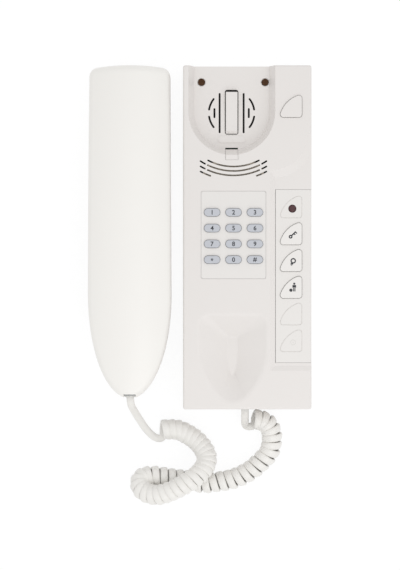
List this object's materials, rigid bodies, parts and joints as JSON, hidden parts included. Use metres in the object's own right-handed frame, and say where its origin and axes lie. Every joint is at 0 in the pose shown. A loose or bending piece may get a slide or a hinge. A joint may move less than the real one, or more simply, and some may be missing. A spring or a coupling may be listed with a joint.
{
  "type": "audio intercom handset",
  "caption": "Wall intercom with a keypad and function buttons, cradle with hook lever, and a lift-off handset on a curly cord, laid flat beside its base.",
  "frame": {"origin": "middle of the base's rear face, the face that goes against the wall, halfway between the two wall screw holes", "axes": "+Z out of the base's front face; +Y towards the base's top; +X to the right as seen from the front; the handset lies face down at -X, the cord at -Y"},
  "size_m": [0.1462, 0.2894, 0.044],
  "materials": {
    "warm_white_plastic": "fine satin, warm white",
    "handset_plastic": "fine satin, warm white",
    "panel_plastic": "fine satin",
    "plate_plastic": "fine satin",
    "button_plastic": "fine satin",
    "key_plastic": "satin, bluish grey",
    "silicone": "soft, matt",
    "circuit_board": "green solder mask",
    "black_plastic": "matt",
    "green_plastic": "satin",
    "red_lens": "diffuse dark red",
    "steel": "plated",
    "brown_screw": "yellowed plating",
    "cast_weight": "as cast",
    "aluminium": "satin",
    "clear_plastic": "clear moulded",
    "cone_paper": "paper cone",
    "black_cloth": "fine dark cloth",
    "foam": "soft foam ring",
    "black_rubber": "matt",
    "cord_plastic": "satin, light grey white"
  },
  "bodies": {
    "base": {"front_cover": "warm_white_plastic", "function_panel": "panel_plastic", "keypad_plate": "plate_plastic", "key_mat": "silicone", "key_board": "circuit_board", "tact_switches": "black_plastic", "status_light": "red_lens", "hook_pivot_pin": "steel", "hook_switch": "black_plastic", "hook_spring": "steel", "grille_cloth": "black_cloth", "handset_tab": "warm_white_plastic", "ringer_frame": "black_plastic", "ringer_cone": "cone_paper", "ringer_magnet": "steel", "rear_plate": "warm_white_plastic", "main_board": "circuit_board", "board_screws": "steel", "cover_screws": "brown_screw", "terminal_block": "green_plastic", "terminal_screws": "steel", "base_jack": "black_plastic", "base_plug": "clear_plastic", "cord_base_lead": "cord_plastic", "cord_curl": "cord_plastic", "cord_handset_lead": "cord_plastic"},
    "handset": {"handset_outer_shell": "handset_plastic", "handset_inner_shell": "handset_plastic", "earpiece_frame": "black_plastic", "earpiece_cone": "cone_paper", "earpiece_magnet": "steel", "earpiece_gasket": "foam", "microphone_capsule": "aluminium", "microphone_boot": "black_rubber", "handset_weight": "cast_weight", "handset_screws": "steel", "handset_jack": "black_plastic", "handset_plug": "clear_plastic"},
    "hook_lever": {"hook_lever": "warm_white_plastic"},
    "switch_plunger": {"switch_plunger": "black_plastic"},
    "key_1": {"key_1": "key_plastic"},
    "key_2": {"key_2": "key_plastic"},
    "key_3": {"key_3": "key_plastic"},
    "key_4": {"key_4": "key_plastic"},
    "key_5": {"key_5": "key_plastic"},
    "key_6": {"key_6": "key_plastic"},
    "key_7": {"key_7": "key_plastic"},
    "key_8": {"key_8": "key_plastic"},
    "key_9": {"key_9": "key_plastic"},
    "key_star": {"key_star": "key_plastic"},
    "key_0": {"key_0": "key_plastic"},
    "key_hash": {"key_hash": "key_plastic"},
    "door_button": {"door_button": "button_plastic"},
    "light_button": {"light_button": "button_plastic"},
    "service_button": {"service_button": "button_plastic"},
    "call_button": {"call_button": "button_plastic"}
  },
  "joints": [
    {"name": "handset_lift", "type": "slide", "parent": "base", "child": "handset", "axis": [0, 0, 1], "range_m": [0, 0.12]},
    {"name": "hook_pivot", "type": "hinge", "parent": "base", "child": "hook_lever", "pos_m": [-0.0101, 0.07, 0.0145], "axis": [-1, 0, 0], "range_deg": [0, 8], "stiffness_Nm_per_rad": 0.1, "springref_deg": -2.86, "deforming": ["hook_spring"]},
    {"name": "plunger_travel", "type": "slide", "parent": "base", "child": "switch_plunger", "axis": [0, 0, -1], "range_m": [0, 0.00105]},
    {"name": "key_1_travel", "type": "slide", "parent": "base", "child": "key_1", "axis": [0, 0, -1], "range_m": [0, 0.0007], "stiffness_N_per_m": 300, "springref_m": -0.001},
    {"name": "key_2_travel", "type": "slide", "parent": "base", "child": "key_2", "axis": [0, 0, -1], "range_m": [0, 0.0007], "stiffness_N_per_m": 300, "springref_m": -0.001},
    {"name": "key_3_travel", "type": "slide", "parent": "base", "child": "key_3", "axis": [0, 0, -1], "range_m": [0, 0.0007], "stiffness_N_per_m": 300, "springref_m": -0.001},
    {"name": "key_4_travel", "type": "slide", "parent": "base", "child": "key_4", "axis": [0, 0, -1], "range_m": [0, 0.0007], "stiffness_N_per_m": 300, "springref_m": -0.001},
    {"name": "key_5_travel", "type": "slide", "parent": "base", "child": "key_5", "axis": [0, 0, -1], "range_m": [0, 0.0007], "stiffness_N_per_m": 300, "springref_m": -0.001},
    {"name": "key_6_travel", "type": "slide", "parent": "base", "child": "key_6", "axis": [0, 0, -1], "range_m": [0, 0.0007], "stiffness_N_per_m": 300, "springref_m": -0.001},
    {"name": "key_7_travel", "type": "slide", "parent": "base", "child": "key_7", "axis": [0, 0, -1], "range_m": [0, 0.0007], "stiffness_N_per_m": 300, "springref_m": -0.001},
    {"name": "key_8_travel", "type": "slide", "parent": "base", "child": "key_8", "axis": [0, 0, -1], "range_m": [0, 0.0007], "stiffness_N_per_m": 300, "springref_m": -0.001},
    {"name": "key_9_travel", "type": "slide", "parent": "base", "child": "key_9", "axis": [0, 0, -1], "range_m": [0, 0.0007], "stiffness_N_per_m": 300, "springref_m": -0.001},
    {"name": "key_star_travel", "type": "slide", "parent": "base", "child": "key_star", "axis": [0, 0, -1], "range_m": [0, 0.0007], "stiffness_N_per_m": 300, "springref_m": -0.001},
    {"name": "key_0_travel", "type": "slide", "parent": "base", "child": "key_0", "axis": [0, 0, -1], "range_m": [0, 0.0007], "stiffness_N_per_m": 300, "springref_m": -0.001},
    {"name": "key_hash_travel", "type": "slide", "parent": "base", "child": "key_hash", "axis": [0, 0, -1], "range_m": [0, 0.0007], "stiffness_N_per_m": 300, "springref_m": -0.001},
    {"name": "door_button_travel", "type": "slide", "parent": "base", "child": "door_button", "axis": [0, 0, -1], "range_m": [0, 0.0006], "stiffness_N_per_m": 400, "springref_m": -0.001},
    {"name": "light_button_travel", "type": "slide", "parent": "base", "child": "light_button", "axis": [0, 0, -1], "range_m": [0, 0.0006], "stiffness_N_per_m": 400, "springref_m": -0.001},
    {"name": "service_button_travel", "type": "slide", "parent": "base", "child": "service_button", "axis": [0, 0, -1], "range_m": [0, 0.0006], "stiffness_N_per_m": 400, "springref_m": -0.001},
    {"name": "call_button_travel", "type": "slide", "parent": "base", "child": "call_button", "axis": [0, 0, -1], "range_m": [0, 0.0006], "stiffness_N_per_m": 400, "springref_m": -0.001}
  ],
  "couplings": [
    {"joint": "plunger_travel", "follows": "hook_pivot", "m_per_rad": 0.00716}
  ]
}
